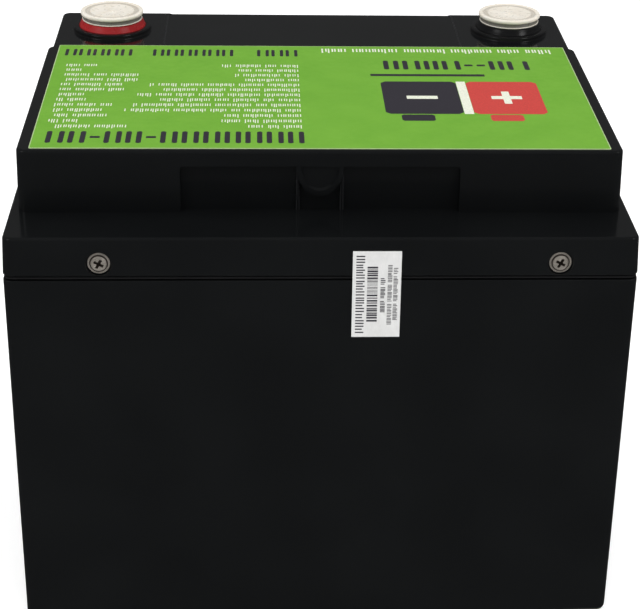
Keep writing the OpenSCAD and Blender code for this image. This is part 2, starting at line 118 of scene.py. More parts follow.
CORNER_STEPS = 8
ROUND_STEPS = 6
TURN_STEPS = 96
SMOOTH_ANGLE = math.radians(38)

ROUGH_SWING = 0.06    # how far a plastic's roughness strays to either side


# ---------------------------------------------------------------- camera and light

def make_camera():
    """Camera at the photograph's viewing angle."""
    place = Vector((-20.2, -588.8, 369.3)) * MM
    yaw, pitch, roll = -0.0656, 0.4592, 0.0259
    data = bpy.data.cameras.new("camera")
    data.sensor_width = 36
    data.lens = 101.5
    data.shift_x = -0.07
    data.clip_start = 0.01
    camera = bpy.data.objects.new("camera", data)
    bpy.context.scene.collection.objects.link(camera)
    right = Vector((math.cos(yaw), math.sin(yaw), 0))
    ahead = Vector((-math.sin(yaw) * math.cos(pitch), math.cos(yaw) * math.cos(pitch), -math.sin(pitch)))
    up = right.cross(ahead)
    side = math.cos(roll) * right + math.sin(roll) * up
    top = math.cos(roll) * up - math.sin(roll) * right
    turned = Matrix((side, top, -ahead)).transposed()
    camera.matrix_world = Matrix.Translation(place) @ turned.to_4x4()
    bpy.context.scene.camera = camera


def make_light(name, place, aim, size, power, mirrored=True):
    """Square soft box at place, turned to aim, which gloss can mirror."""
    data = bpy.data.lights.new(name, "AREA")
    data.shape = "SQUARE"
    data.size = size
    data.energy = power
    light = bpy.data.objects.new(name, data)
    bpy.context.scene.collection.objects.link(light)
    light.location = place
    light.rotation_euler = (Vector(aim) - Vector(place)).to_track_quat("-Z", "Y").to_euler()
    light.visible_glossy = mirrored


def make_world():
    """White surroundings that light softly but look dim in gloss, darker below than above."""
    world = bpy.data.worlds.new("studio")
    bpy.context.scene.world = world
    world.use_nodes = True
    nodes, links = world.node_tree.nodes, world.node_tree.links
    nodes.clear()
    out = nodes.new("ShaderNodeOutputWorld")
    path = nodes.new("ShaderNodeLightPath")
    where = nodes.new("ShaderNodeTexCoord")
    split = nodes.new("ShaderNodeSeparateXYZ")
    height = nodes.new("ShaderNodeMapRange")
    height.interpolation_type = "SMOOTHSTEP"
    height.inputs["From Min"].default_value = -0.15
    height.inputs["From Max"].default_value = 0.35
    height.inputs["To Min"].default_value = GLOSS_BELOW
    height.inputs["To Max"].default_value = GLOSS_ABOVE
    links.new(where.outputs["Generated"], split.inputs[0])
    links.new(split.outputs["Z"], height.inputs["Value"])
    last = None
    for level, ray in ((SOFT_LIGHT, None), (height.outputs[0], "Is Glossy Ray"), (1.0, "Is Camera Ray")):
        sky = nodes.new("ShaderNodeBackground")
        sky.inputs["Color"].default_value = (1, 1, 1, 1)
        if isinstance(level, float):
            sky.inputs["Strength"].default_value = level
        else:
            links.new(level, sky.inputs["Strength"])
        if ray is None:
            last = sky.outputs[0]
            continue
        mix = nodes.new("ShaderNodeMixShader")
        links.new(path.outputs[ray], mix.inputs[0])
        links.new(last, mix.inputs[1])
        links.new(sky.outputs[0], mix.inputs[2])
        last = mix.outputs[0]
    links.new(last, out.inputs["Surface"])


# ---------------------------------------------------------------- meshes

def add_object(name, mesh):
    """New object that shows mesh."""
    obj = bpy.data.objects.new(name, mesh)
    bpy.context.scene.collection.objects.link(obj)
    return obj


def tidy(obj):
    """Welds the mesh, turns its faces outward, and shades it smooth except across sharp edges."""
    bm = bmesh.new()
    bm.from_mesh(obj.data)
    bmesh.ops.remove_doubles(bm, verts=bm.verts, dist=1e-6)
    bmesh.ops.recalc_face_normals(bm, faces=bm.faces)
    for face in bm.faces:
        face.smooth = True
    for edge in bm.edges:
        edge.smooth = len(edge.link_faces) == 2 and edge.calc_face_angle(math.pi) < SMOOTH_ANGLE
    bm.to_mesh(obj.data)
    bm.free()
    return obj


def solid(name, points, faces):
    """Closed mesh from points in millimetres."""
    mesh = bpy.data.meshes.new(name)
    mesh.from_pydata([Vector(p) * MM for p in points], [], faces)
    return tidy(add_object(name, mesh))


def loft(name, rings, closed=False):
    """Skin over rings of equal length, closed by flat ends, or joined last to first when closed."""
    count = len(rings[0])
    points = [p for ring in rings for p in ring]
    faces = []
    last = len(rings) if closed else len(rings) - 1
    for i in range(last):
        a, b = i * count, (i + 1) % len(rings) * count
        for k in range(count):
            m = (k + 1) % count
            faces.append((a + k, a + m, b + m, b + k))
    if not closed:
        faces.append(tuple(range(count))[::-1])
        faces.append(tuple(range(len(points) - count, len(points))))
    return solid(name, points, faces)


def rect_ring(low, high, r, z, steps=CORNER_STEPS):
    """Rounded rectangle at height z, from its corners (x, y)."""
    ring = []
    x0, y0, x1, y1 = low[0] + r, low[1] + r, high[0] - r, high[1] - r
    for turn, (x, y) in enumerate(((x1, y1), (x0, y1), (x0, y0), (x1, y0))):
        for i in range(steps + 1):
            a = math.radians(90 * turn + 90 * i / steps)
            ring.append((x + r * math.cos(a), y + r * math.sin(a), z))
    return ring


def inset_ring(low, high, inset, r, z):
    """Rounded rectangle drawn in by inset on each side."""
    return rect_ring((low[0] + inset, low[1] + inset), (high[0] - inset, high[1] - inset), max(r, 0.05), z)


def arc(steps, start=0, end=90):
    """Angles in radians from start to end, in degrees."""
    return [math.radians(start + (end - start) * i / steps) for i in range(steps + 1)]


def moulded_rings(low, high, r, draft, edge):
    """Rings of a block from its foot to its round top edge, drawn in by draft at the top."""
    rings = [inset_ring(low, high, 0, r, low[2])]
    for a in arc(ROUND_STEPS):
        drop = edge * (1 - math.cos(a))
        rings.append(inset_ring(low, high, draft + drop, r - drop, high[2] - edge + edge * math.sin(a)))
    return rings


def lathe(name, profile, centre=(0, 0), closed=True, steps=TURN_STEPS):
    """Solid of revolution about Z from (radius, height) pairs. A radius may be a function of the turn."""
    rings = []
    for r, z in profile:
        ring = []
        for k in range(steps):
            a = math.tau * k / steps
            radius = r(a) if callable(r) else r
            ring.append((centre[0] + radius * math.cos(a), centre[1] + radius * math.sin(a), z))
        rings.append(ring)
    return loft(name, rings, closed)


def prism(name, outline, low, high):
    """Upright prism over an outline of (x, y), from height low to height high."""
    return loft(name, [[(x, y, z) for x, y in outline] for z in (low, high)])


def combine(obj, other, operation="DIFFERENCE"):
    """Boolean of two solids, kept as plain mesh."""
    step = obj.modifiers.new("combine", "BOOLEAN")
    step.operation = operation
    step.object = other
    step.solver = "EXACT"
    depsgraph = bpy.context.evaluated_depsgraph_get()
    mesh = bpy.data.meshes.new_from_object(obj.evaluated_get(depsgraph))
    obj.modifiers.clear()
    obj.data = mesh
    bpy.data.objects.remove(other)
    return obj


def flat_shading(obj):
    """Keeps large flat faces flat beside their round edges."""
    tidy(obj)
    step = obj.modifiers.new("normals", "WEIGHTED_NORMAL")
    step.keep_sharp = True
    step.weight = 80
    return obj


# ---------------------------------------------------------------- materials

class Finish:
    """Node material with one shader, which looks like a moulded, printed or machined surface."""

    def __init__(self, name, roughness=0.4, metal=0.0, gloss=0.5):
        self.material = bpy.data.materials.new(name)
        self.material.use_nodes = True
        self.nodes = self.material.node_tree.nodes
        self.links = self.material.node_tree.links
        self.shader = self.nodes["Principled BSDF"]
        self.shader.inputs["Roughness"].default_value = roughness
        self.shader.inputs["Metallic"].default_value = metal
        self.shader.inputs["Specular IOR Level"].default_value = gloss
        self.height = None

    def add(self, kind, **values):
        """Node of the given kind, with its inputs set by name."""
        node = self.nodes.new("ShaderNode" + kind)
        for key, value in values.items():
            node.inputs[key.replace("_", " ")].default_value = value
        return node

    def place(self, size, stretch=(1, 1, 1)):
        """Object coordinates in units of size millimetres, longer along a stretched axis."""
        where = self.add("TexCoord")
        scaled = self.add("Mapping", Scale=[1 / (size * MM * s) for s in stretch])
        self.links.new(where.outputs["Object"], scaled.inputs["Vector"])
        return scaled.outputs[0]

    def noise(self, size, stretch=(1, 1, 1), detail=3.0, rough=0.5):
        """Noise whose features are about size millimetres."""
        node = self.add("TexNoise", Scale=1.0, Detail=detail, Roughness=rough)
        self.links.new(self.place(size, stretch), node.inputs["Vector"])
        return node.outputs[0]

    def cells(self, size, feature="F1", stretch=(1, 1, 1)):
        """Voronoi distance with cells of about size millimetres."""
        node = self.add("TexVoronoi", Scale=1.0)
        node.feature = feature
        self.links.new(self.place(size, stretch), node.inputs["Vector"])
        return node.outputs["Distance"]

    def bands(self, size):
        """Fine level lines, size millimetres apart, one above the other."""
        node = self.add("TexWave", Scale=0.314, Distortion=0.5, Detail=2.0)
        node.wave_type = "BANDS"
        node.bands_direction = "Z"
        self.links.new(self.place(size), node.inputs["Vector"])
        return node.outputs["Fac"]

    def spread(self, source, low, high, start=0.35, end=0.65):
        """The source's middle range, spread over low to high."""
        node = self.add("MapRange")
        for key, value in (("From Min", start), ("From Max", end), ("To Min", low), ("To Max", high)):
            node.inputs[key].default_value = value
        self.links.new(source, node.inputs["Value"])
        return node.outputs[0]

    def colour(self, source, first, second):
        """Base colour between first and second, by the source."""
        mix = self.nodes.new("ShaderNodeMix")
        mix.data_type = "RGBA"
        mix.inputs["A"].default_value = (*first, 1)
        mix.inputs["B"].default_value = (*second, 1)
        old = self.shader.inputs["Base Color"]
        if old.is_linked:
            self.links.new(old.links[0].from_socket, mix.inputs["A"])
        self.links.new(source, mix.inputs["Factor"])
        self.links.new(mix.outputs["Result"], old)

    def rough(self, source, low, high):
        """Roughness between low and high, by the source."""
        self.links.new(self.spread(source, low, high), self.shader.inputs["Roughness"])

    def bump(self, source, depth, strength=1.0):
        """Relief of the given depth in millimetres, added to what is there."""
        node = self.add("Bump", Strength=strength, Distance=depth * MM)
        self.links.new(source, node.inputs["Height"])
        if self.height is not None:
            self.links.new(self.height, node.inputs["Normal"])
        self.height = node.outputs[0]
        self.links.new(self.height, self.shader.inputs["Normal"])

    def set(self, **values):
        """Values set on the shader's own sockets."""
        for key, value in values.items():
            self.shader.inputs[key.replace("_", " ")].default_value = value


def tint(colour, factor):
    """Colour made lighter or darker."""
    return tuple(min(1.0, c * factor) for c in colour)


def plastic(name, colour, roughness=0.35, grain=0.35, depth=0.01, gloss=0.5, vary=0.12):
    """Moulded plastic: fine grain, slow shifts of tone and a few dull patches."""
    look = Finish(name, roughness, gloss=gloss)
    look.colour(look.spread(look.noise(14), 0, 1), tint(colour, 1 - vary), tint(colour, 1 + vary))
    look.rough(look.noise(5, detail=5), roughness - ROUGH_SWING, roughness + ROUGH_SWING)
    look.bump(look.noise(grain), depth)
    return look


def black_gloss():
    """Polished black moulding with a faint waviness, hairline scuffs and specks of dust."""
    look = Finish("case_black", 0.12)
    look.colour(look.spread(look.noise(30), 0, 1), (0.0047, 0.0052, 0.0056), (0.0058, 0.0064, 0.0068))
    specks = look.spread(look.cells(2.6), 1, 0, 0.02, 0.06)
    sparse = look.spread(look.noise(9), 0, 0.25, 0.55, 0.7)
    both = look.add("Math")
    both.operation = "MULTIPLY"
    look.links.new(specks, both.inputs[0])
    look.links.new(sparse, both.inputs[1])
    look.colour(both.outputs[0], (0, 0, 0), (0.06, 0.06, 0.065))
    look.rough(look.noise(1.2, (14, 1, 1), 5), 0.09, 0.16)
    look.bump(look.noise(7, detail=1), 0.03, 0.25)
    look.bump(look.noise(0.5), 0.004, 0.25)
    return look


def label_film():
    """Printed satin film: even green with a slight cloudiness and a fine print grain."""
    look = Finish("label_green", 0.38, gloss=0.4)
    look.colour(look.spread(look.noise(11, detail=4), 0, 1), (0.157, 0.41, 0.03), (0.178, 0.44, 0.036))
    look.colour(look.spread(look.noise(0.35), 0, 0.25), (0, 0, 0), (0.2, 0.47, 0.055))
    look.rough(look.noise(3), 0.33, 0.44)
    look.bump(look.noise(0.4), 0.005, 0.4)
    return look


def ink(name, colour):
    """Printed ink with slightly uneven cover."""
    look = Finish(name, 0.42, gloss=0.35)
    look.colour(look.spread(look.noise(0.6), 0, 1), tint(colour, 0.9), tint(colour, 1.08))
    look.bump(look.noise(0.25), 0.004, 0.4)
    return look


def paper():
    """Coated paper with fibres and a soft mottle."""
    look = Finish("seal_paper", 0.5, gloss=0.35)
    look.colour(look.spread(look.noise(4, detail=4), 0, 1), (0.64, 0.64, 0.63), (0.7, 0.7, 0.69))
    look.colour(look.spread(look.noise(0.25, (1, 1, 6)), 0, 0.3), (0, 0, 0), (0.56, 0.56, 0.56))
    look.rough(look.noise(1.5), 0.42, 0.58)
    look.bump(look.noise(0.3, (1, 1, 5)), 0.012, 0.5)
    return look


def milky(name, tone=1.0):
    """Soft translucent plastic, slightly yellow, with a wavy skin."""
    look = Finish(name, 0.32, gloss=0.5)
    # A tone below 1 gives a darker copy of this plastic, used as painted shade.
    warm, pale = tint((0.84, 0.78, 0.68), tone), tint((0.88, 0.83, 0.74), tone)
    look.colour(look.spread(look.noise(5, detail=1), 0, 1), warm, pale)
    look.rough(look.noise(1.5), 0.24, 0.4)
    look.bump(look.noise(5, detail=0), 0.03, 0.12)
    look.set(Subsurface_Weight=0.1, Subsurface_Radius=(1.0, 0.85, 0.7), Subsurface_Scale=0.002)
    return look


def metal(name, colour, roughness, size=0.15, stretch=(1, 1, 1), depth=0.004, vary=0.12, metal_share=0.7):
    """Bare or plated metal with fine tool marks and uneven shine."""
    look = Finish(name, roughness, metal=metal_share)
    dull, bright = tint(colour, 1 - vary), tint(colour, 1 + vary * 0.5)
    look.colour(look.spread(look.noise(2.5, detail=5), 0, 1), dull, bright)
    look.rough(look.noise(size, stretch, 4), roughness * 0.7, roughness * 1.4)
    look.bump(look.noise(size, stretch), depth, 0.5)
    return look


def turned_brass():
    """Brass with the fine rings that a lathe leaves, and a little tarnish."""
    look = metal("brass", (0.78, 0.56, 0.26), 0.26)
    look.colour(look.spread(look.noise(4, detail=5), 0, 0.5, 0.5, 0.75), (0, 0, 0), (0.42, 0.27, 0.11))
    look.bump(look.bands(0.25), 0.008, 0.5)
    return look


def foam():
    """Closed-cell foam: dark, dull and full of small pores."""
    look = plastic("foam", (0.07, 0.075, 0.085), 0.85, gloss=0.2, depth=0.05)
    look.colour(look.spread(look.cells(0.9), 0.5, 0, 0.1, 0.5), (0, 0, 0), (0.025, 0.027, 0.03))
    look.bump(look.cells(0.9), 0.12, 0.7)
    return look


def circuit_board():
    """Green solder mask over copper tracks, with dull pads between them."""
    look = Finish("board_green", 0.35)
    tracks = look.spread(look.cells(7, stretch=(3, 1, 1), feature="DISTANCE_TO_EDGE"), 1, 0, 0.05, 0.12)
    look.colour(look.spread(look.noise(12), 0, 1), (0.012, 0.11, 0.045), (0.018, 0.14, 0.06))
    look.colour(tracks, (0, 0, 0), (0.04, 0.24, 0.09))
    look.bump(tracks, 0.03, 0.6)
    look.rough(look.noise(2), 0.28, 0.42)
    return look


def film_wrap():
    """Blue film shrunk on a cell: glossy, with faint wrinkles."""
    look = Finish("cell_can", 0.25, gloss=0.5)
    look.colour(look.spread(look.noise(20), 0, 1), (0.07, 0.2, 0.46), (0.1, 0.26, 0.55))
    look.rough(look.noise(4, (1, 4, 1), 4), 0.18, 0.34)
    look.bump(look.noise(6, (5, 1, 1), 4), 0.12, 0.4)
    return look


def brushed(name, colour, roughness, along=(12, 1, 1)):
    """Metal brushed along one axis."""
    return metal(name, colour, roughness, size=0.25, stretch=along, depth=0.006)


def rubbery(name, colour, roughness=0.6):
    """Silicone or rubber with a soft skin."""
    return plastic(name, colour, roughness, grain=0.5, depth=0.02, gloss=0.4)


def make_finishes():
    """Every finish, by the record's slot name or by its own."""
    looks = {
        "case_black": black_gloss(),
        # Lighter black for the rib flanks and the pad sides: a painted highlight.
        "case_painted_highlight": plastic("case_painted_highlight", (0.016, 0.0165, 0.018), 0.3),
        "pole_black": plastic("pole_black", (0.006, 0.006, 0.0065), 0.2, depth=0.006, vary=0.2),
        "pole_red": plastic("pole_red", (0.36, 0.012, 0.014), 0.3, depth=0.012, vary=0.15),
        "seal_black": rubbery("seal_black", (0.008, 0.008, 0.009), 0.7),
        "screw_steel": metal("screw_steel", (0.46, 0.42, 0.37), 0.3, metal_share=0.6, vary=0.25),
        # Dark, dull metal: painted shade for the cross recess and the groove under the screw head.
        "screw_painted_shade": metal("screw_painted_shade", (0.07, 0.055, 0.045), 0.5, metal_share=0.5),
        "brass": turned_brass(),
        "label_green": label_film(),
        "film_edge": ink("film_edge", (0.48, 0.62, 0.32)),
        "ink_dark": ink("ink_dark", (0.035, 0.032, 0.042)),
        "ink_white": ink("ink_white", (0.83, 0.86, 0.72)),
        "ink_red": ink("ink_red", (0.62, 0.06, 0.05)),
        "seal_paper": paper(),
        "cap_milky": milky("cap_milky"),
        # Darker copies of the milky plastic: painted shade for the cap's top groove and for its waist.
        "cap_groove_painted_shade": milky("cap_groove_painted_shade", 0.76),
        "cap_waist_painted_shade": milky("cap_waist_painted_shade", 0.3),
        "cell_can": film_wrap(),
        "aluminium": brushed("aluminium", (0.7, 0.71, 0.73), 0.35),
        "sheet_insulator": plastic("sheet_insulator", (0.7, 0.62, 0.4), 0.45, depth=0.02),
        "plate_black": plastic("plate_black", (0.03, 0.032, 0.037), 0.5, depth=0.03),
        "strap_steel": brushed("strap_steel", (0.5, 0.51, 0.53), 0.32, (1, 12, 1)),
        "foam": foam(),
        "heater_silicone": rubbery("heater_silicone", (0.5, 0.16, 0.03)),
        "copper": brushed("copper", (0.78, 0.38, 0.2), 0.3, (1, 12, 1)),
        "tray_plastic": plastic("tray_plastic", (0.7, 0.7, 0.66), 0.5, depth=0.02),
        "board_green": circuit_board(),
        "chip_black": plastic("chip_black", (0.02, 0.02, 0.022), 0.5, grain=0.2, depth=0.02),
        "module_blue": plastic("module_blue", (0.03, 0.1, 0.4), 0.35),
        "connector_white": plastic("connector_white", (0.85, 0.83, 0.76), 0.45),
        "wire_grey": rubbery("wire_grey", (0.6, 0.6, 0.62), 0.5),
        "wire_red": rubbery("wire_red", (0.5, 0.03, 0.03), 0.5),
        "wire_black": rubbery("wire_black", (0.012, 0.012, 0.014), 0.5),
    }
    return {name: look.material for name, look in looks.items()}


def paint(obj, *names):
    """Gives the object these finishes in order, and keeps which face of a made piece wears which."""
    if obj.data.materials:
        obj.data.materials.clear()
    for name in names:
        obj.data.materials.append(FINISHES[name])


def place(obj, slot, body="root", stands_for=(), finishes=None):
    """Paints a piece with its finishes, or with the slot's finish when none are given, hides the CAD node it
    stands for and lets it ride on its body.
    """
    paint(obj, *(finishes or (slot,)))
    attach(obj, body)
    if stands_for:
        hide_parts(*stands_for)


# ---------------------------------------------------------------- case

def make_container():
    """Drafted box with a round foot, a soft rim and a thinner lip inside it."""
    low, high = (-HALF_L, -HALF_W), (HALF_L, HALF_W)
    rim = 0.4
    rings = []
    for a in arc(ROUND_STEPS):
        drop = FOOT_EDGE * (1 - math.sin(a))
        z = FOOT_EDGE * (1 - math.cos(a))
        rings.append(inset_ring(low, high, FOOT_DRAFT + drop, CORNER_R - drop, z))
    for a in arc(4):
        drop = rim * (1 - math.cos(a))
        rings.append(inset_ring(low, high, drop, CORNER_R - drop, CASE_TOP - rim + rim * math.sin(a)))
    inside = [(LIP_OUT, CASE_TOP), (LIP_OUT, LIP_TOP - rim), (LIP_OUT + rim, LIP_TOP),
              (LIP_IN - rim, LIP_TOP), (LIP_IN, LIP_TOP - rim), (LIP_IN, LIP_FOOT), (WALL, LIP_FOOT - 3),
              (WALL, FLOOR_T + 2), (WALL + 0.6, FLOOR_T + 0.6), (WALL + 2, FLOOR_T)]
    for inset, z in inside:
        rings.append(inset_ring(low, high, inset, 1.5, z))
    return flat_shading(loft("case_container", rings))


def make_skirt_and_deck():
    """Closed block of the lid before its cavity is taken out."""
    low, high = (-HALF_L, -HALF_W, LID_FOOT), (HALF_L, HALF_W, SHOULDER)
    rim = 0.35
    rings = []
    for a in arc(4):
        z = LID_FOOT + rim * (1 - math.cos(a))
        rings.append(inset_ring(low, high, rim * (1 - math.sin(a)), CORNER_R, z))
    rings += moulded_rings(low, high, CORNER_R, LID_DRAFT, EDGE_R)[1:]
    lid = loft("case_lid", rings)
    embed = SHOULDER - 4
    deck = (-DECK_HALF, DECK_FRONT, embed), (DECK_HALF, DECK_BACK, DECK_TOP)
    strip = (-STRIP_HALF, DECK_BACK - 12, embed), (STRIP_HALF, STRIP_BACK, STRIP_TOP)
    for name, corners in (("deck", deck), ("strip", strip)):
        combine(lid, loft(name, moulded_rings(*corners, CORNER_R, LID_DRAFT, EDGE_R)), "UNION")
    return lid


def cavity():
    """Space inside the lid: skirt, deck and strip, with the wall left around it."""
    under = SHOULDER - WALL
    half_x, half_y = HALF_L - WALL, HALF_W - WALL
    rings = [rect_ring((-half_x, -half_y), (half_x, half_y), 1, z) for z in (LID_FOOT - 1, under)]
    space = loft("cavity", rings)
    deck_x = DECK_HALF - WALL - LID_DRAFT
    recess_x = RECESS_HALF + WALL
    behind = RECESS_Y + WALL
    front = DECK_FRONT + WALL + LID_DRAFT
    outline = [(-deck_x, front), (RECESS_MID - recess_x, front), (RECESS_MID - recess_x, behind),
               (RECESS_MID + recess_x, behind), (RECESS_MID + recess_x, front), (deck_x, front),
               (deck_x, DECK_BACK - WALL), (-deck_x, DECK_BACK - WALL)]
    combine(space, prism("deck_space", outline, under - 1, DECK_TOP - WALL), "UNION")
    strip_x, strip_y = STRIP_HALF - WALL - LID_DRAFT, STRIP_BACK - WALL - LID_DRAFT
    strip_front = DECK_BACK - WALL - 1
    heights = (under - 1.5, STRIP_TOP - WALL)
    rings = [rect_ring((-strip_x, strip_front), (strip_x, strip_y), 1, z) for z in heights]
    return combine(space, loft("strip_space", rings), "UNION")


def recess_cut():
    """Panel sunk in the deck's front, with a soft edge where it meets the front face."""
    r, soft = 1.2, 0.45

    def outline(grow):
        half, top = RECESS_HALF + grow, RECESS_TOP + grow
        points = [(RECESS_MID - half, SHOULDER), (RECESS_MID + half, SHOULDER)]
        for a in arc(5):
            points.append((RECESS_MID + half - r + r * math.cos(a), top - r + r * math.sin(a)))
        for a in arc(5, 90, 180):
            points.append((RECESS_MID - half + r + r * math.cos(a), top - r + r * math.sin(a)))
        return points
    face = DECK_FRONT + LID_DRAFT / 2
    depths = [(RECESS_Y, 0)]
    for a in arc(3):
        depths.append((face + soft * (1 - math.sin(a)), soft * (1 - math.cos(a))))
    depths.append((DECK_FRONT - 2, soft))
    return loft("recess", [[(x, y, z) for x, z in outline(grow)] for y, grow in depths])


def boss_and_ribs():
    """Half-oval boss with a sunk face under the recess's top edge, and two ribs down to the shoulder."""
    top = RECESS_TOP + 0.3

    def half_disc(r, y):
        return [(BOSS_X + r * math.cos(a), y, top - BOSS_TALL * r * math.sin(a)) for a in arc(28, 0, 180)]
    back = RECESS_Y + 0.8
    proud = RECESS_Y - 3.1
    rings = [half_disc(BOSS_R, back), half_disc(BOSS_R, proud + 0.5)]
    for a in arc(3):
        rings.append(half_disc(BOSS_R - 0.5 * (1 - math.cos(a)), proud + 0.5 - 0.5 * math.sin(a)))
    rings += [half_disc(BOSS_R - 1.6, proud), half_disc(BOSS_R - 2.1, proud + 0.8)]
    boss = loft("boss", rings)
    ribs = []
    for side in (-1, 1):
        middle = BOSS_X + side * (BOSS_R - RIB_W / 2)
        r = RIB_W / 2
        nose = [(middle - r * math.cos(a), RECESS_Y - RIB_FLANK - r * math.sin(a)) for a in arc(8, 0, 180)]
        ribs.append(prism("rib", [(middle + r, back), (middle - r, back)] + nose, SHOULDER - 0.6, top))
    return boss, ribs


def pad_cut():
    """Shallow step that lowers the middle of the terminal strip, with sloping sides."""
    def outline(grow):
        half, bend = PAD_HALF + grow, 3.5
        points = [(-half, DECK_BACK - 0.6), (half, DECK_BACK - 0.6)]
        for a in arc(6):
            points.append((half - bend * (1 - math.cos(a)), HALF_W - 4 + 4 * math.sin(a)))
        points += [(half - bend, HALF_W + 2), (bend - half, HALF_W + 2)]
        for a in arc(6)[::-1]:
            points.append((bend * (1 - math.cos(a)) - half, HALF_W - 4 + 4 * math.sin(a)))
        return points
    floor = STRIP_TOP - PAD_DROP
    slope = ((floor, -0.3), (floor + 0.1, -0.08), (STRIP_TOP - 0.1, 0.22), (STRIP_TOP + 0.02, 0.5),
             (STRIP_TOP + 2, 0.5))
    return loft("pad", [[(x, y, z) for x, y in outline(grow)] for z, grow in slope])


def screw_places():
    """Centre of each screw on the wall and its turn about Z: two at the front, two at the rear."""
    y = -HALF_W + LID_DRAFT * (SCREW_Z - LID_FOOT) / (SHOULDER - LID_FOOT)
    inward = Matrix.Rotation(-math.pi / 2, 4, "X")
    for turn in (0, math.pi):
        for x in SCREW_X:
            yield Matrix.Rotation(turn, 4, "Z") @ Matrix.Translation((x, y, SCREW_Z)) @ inward


def at_screw(obj, spot):
    """Moves a piece that was made along Z to a screw's place, its +Z into the case."""
    moved = spot.copy()
    moved.translation = spot.translation * MM
    obj.data.transform(moved)
    return obj


def make_lid():
    """Lid with its cavity, recessed panel, lowered pad, screw seats and terminal holes."""
    lid = make_skirt_and_deck()
    combine(lid, cavity())
    combine(lid, recess_cut())
    boss, ribs = boss_and_ribs()
    for part in (boss, *ribs):
        combine(lid, part, "UNION")
    combine(lid, pad_cut())
    seat = WASHER_R + 0.45
    profile = [(seat + 0.5, -2), (seat + 0.5, -0.05), (seat + 0.15, 0.1), (seat, 0.4), (seat, SCREW_SINK),
               (2.2, SCREW_SINK), (2.2, 6)]
    for spot in screw_places():
        combine(lid, at_screw(lathe("seat", profile, closed=False, steps=48), spot))
    for centre in TERMINALS.values():
        hole = [(POST_HOLE_R, STRIP_TOP - WALL - 1), (POST_HOLE_R, STRIP_TOP + 1)]
        combine(lid, lathe("hole", hole, centre, False, 64))
    return mark_edges(flat_shading(lid))


def mark_edges(lid):
    """Gives the flanks of the ribs and the sides of the lowered pad the second, lighter finish: a painted
    highlight.
    """
    for face in lid.data.polygons:
        where = face.center / MM
        off = min(abs(where.x - BOSS_X - side * (BOSS_R - RIB_W / 2)) for side in (-1, 1)) / RIB_W
        nose = RECESS_Y - RIB_W - 1 < where.y < RECESS_Y - 0.9 and SHOULDER < where.z < RECESS_TOP
        step = where.y > DECK_BACK and STRIP_TOP - PAD_DROP < where.z < STRIP_TOP - 0.05
        rib = nose and 0.25 < off < 0.55
        pad = step and abs(abs(where.x) - PAD_HALF) < 0.6
        # Index 1 is the lighter finish, a painted highlight along the rib flanks and the pad sides.
        face.material_index = 1 if rib or pad else 0
    return lid


def make_gasket():
    """Bead of silicone in the seam, with a round nose and a thin gap above and below."""
    middle = (CASE_TOP + LID_FOOT) / 2
    low, high = (-HALF_L, -HALF_W), (HALF_L, HALF_W)
    top, foot = LID_FOOT - 0.04, CASE_TOP + 0.04
    nose = [(0.75 - 0.45 * math.cos(a), middle + 0.36 * math.sin(a)) for a in arc(8, -90, 90)]
    section = nose + [(1.3, top), (2.9, top), (2.9, foot), (1.3, foot)]
    rings = [inset_ring(low, high, inset, CORNER_R - inset, z) for inset, z in section]
    return loft("lid_seal_bead", rings, closed=True)


def make_screw(name, spot):
    """Pan head on a washer with a cross recess, its shank cut with a thread."""
    head_top = -0.35
    profile = [(0.3, -1.18), (1.2, -1.15), (1.9, -1.06), (2.3, -0.9), (2.5, -0.65), (2.55, -0.12),
               (2.65, -0.08), (2.8, -0.12), (2.9, head_top), (3.3, head_top), (WASHER_R, head_top + 0.12),
               (WASHER_R, -0.1), (WASHER_R - 0.1, 0), (2.0, 0)]
    pitch, depth = 0.9, 0.28
    for i in range(33):
        z = 0.25 + i * 0.15
        profile.append((lambda a, z=z: 1.95 - depth * abs(2 * ((z / pitch - a / math.tau) % 1) - 1), z))
    profile.append((0.6, profile[-1][1] + 0.3))
    screw = lathe(name, profile, closed=False, steps=48)
    for turn in (28, 118):
        arm = loft("arm", [rect_ring((-w, -t), (w, t), 0.15, z, 2)
                           for w, t, z in ((0.6, 0.35, 0.6), (1.6, 0.45, -0.9), (1.75, 0.5, -3))])
        arm.data.transform(Matrix.Rotation(math.radians(turn), 4, "Z"))
        combine(screw, arm)
    # Faces in the cross recess and in the groove under the head get the dark finish: painted shade in those
    # hollows.
    for face in screw.data.polygons:
        where = face.center / MM
        r = math.hypot(where.x, where.y)
        cross = r < 1.8 and -0.95 < where.z < 0.7
        groove = 2.45 < r < 2.85 and where.z < 0
        face.material_index = 1 if cross or groove else 0
    screw.data.transform(Matrix.Translation((0, 0, SCREW_SINK * MM)))
    tidy(at_screw(screw, spot))
    return screw


# ---------------------------------------------------------------- terminals

def make_collar(name, centre):
    """Low round-edged collar on the strip."""
    low, high = box_mm("terminal_collar_" + name)
    outer = (high.x - low.x) / 2
    inner, top, fillet = outer - 1.95, high.z, 0.75
    profile = [(inner, low.z), (outer + 0.15, low.z), (outer, low.z + 0.2)]
    profile += [(outer - fillet * (1 - math.cos(a)), top - fillet * (1 - math.sin(a))) for a in arc(6)]
    profile += [(inner + 0.15, top), (inner, top - 0.15)]
    return lathe("terminal_collar_" + name + "_moulded", profile, centre)


def make_ring(name, centre):
    """Coloured ring round the post: an upright foot, a slope and a rolled upper edge."""
    low, high = box_mm("terminal_ring_" + name)
    outer = (high.x - low.x) / 2
    top_r, inner = 11.0, 8.1
    waist = low.z + 1.95
    profile = [(inner, low.z), (outer, low.z), (outer, waist - 0.35), (outer - 0.04, waist - 0.12),
               (outer - 0.15, waist), (top_r + 0.42, high.z - 0.5), (top_r + 0.3, high.z - 0.25),
               (top_r + 0.1, high.z - 0.07), (top_r - 0.1, high.z), (inner + 0.3, high.z),
               (inner, high.z - 0.3)]
    return lathe("terminal_ring_" + name + "_moulded", profile, centre)


